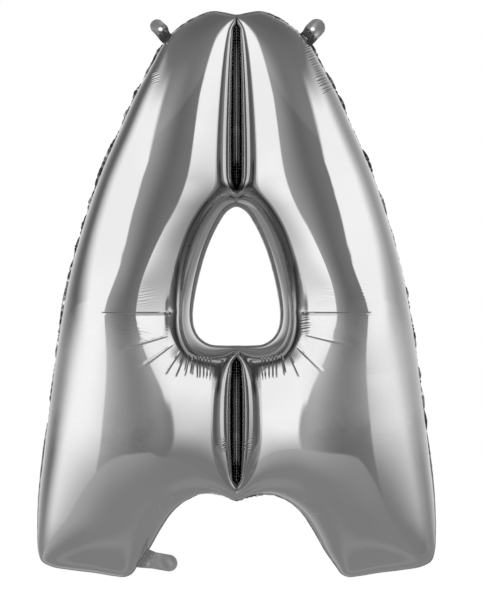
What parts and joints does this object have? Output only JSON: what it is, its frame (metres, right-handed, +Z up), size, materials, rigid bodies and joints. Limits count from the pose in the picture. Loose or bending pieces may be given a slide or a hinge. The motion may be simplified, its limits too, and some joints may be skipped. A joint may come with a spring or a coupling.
{
  "type": "letter foil balloon",
  "caption": "Inflated silver foil balloon in the shape of a capital A, with crimped seams, tacked centre slits, two punched hanging tabs and a flat filling tail.",
  "frame": {"origin": "midpoint between the holes of the two hanging tabs, in the seam plane", "axes": "+X to the viewer's right, +Y away from the viewer through the balloon's thickness, +Z up"},
  "size_m": [0.6092, 0.2312, 0.8639],
  "materials": {
    "foil_film": "mirror-bright metallised film",
    "sealed_film": "metallised film, heat sealed and finely puckered",
    "loose_film": "metallised film, flat and lightly creased"
  },
  "bodies": {
    "envelope": {"front_panel": "foil_film", "back_panel": "foil_film", "outer_seam": "sealed_film", "counter_seam": "sealed_film", "upper_slit_weld": "sealed_film", "lower_slit_weld": "sealed_film"},
    "left_tab": {"left_hanging_tab": "loose_film"},
    "right_tab": {"right_hanging_tab": "loose_film"},
    "tail": {"inflation_tail": "loose_film"}
  },
  "joints": [
    {"name": "left_tab_fold", "type": "hinge", "parent": "envelope", "child": "left_tab", "pos_m": [-0.1106, 0, -0.0141], "axis": [0.6644, 0, 0.7474], "range_deg": [-88, 88]},
    {"name": "right_tab_fold", "type": "hinge", "parent": "envelope", "child": "right_tab", "pos_m": [0.1106, 0, -0.0141], "axis": [0.6644, 0, -0.7474], "range_deg": [-88, 88]},
    {"name": "tail_fold", "type": "hinge", "parent": "envelope", "child": "tail", "pos_m": [-0.1415, 0, -0.8084], "axis": [0.5739, 0, 0.8189], "range_deg": [-88, 88]}
  ]
}
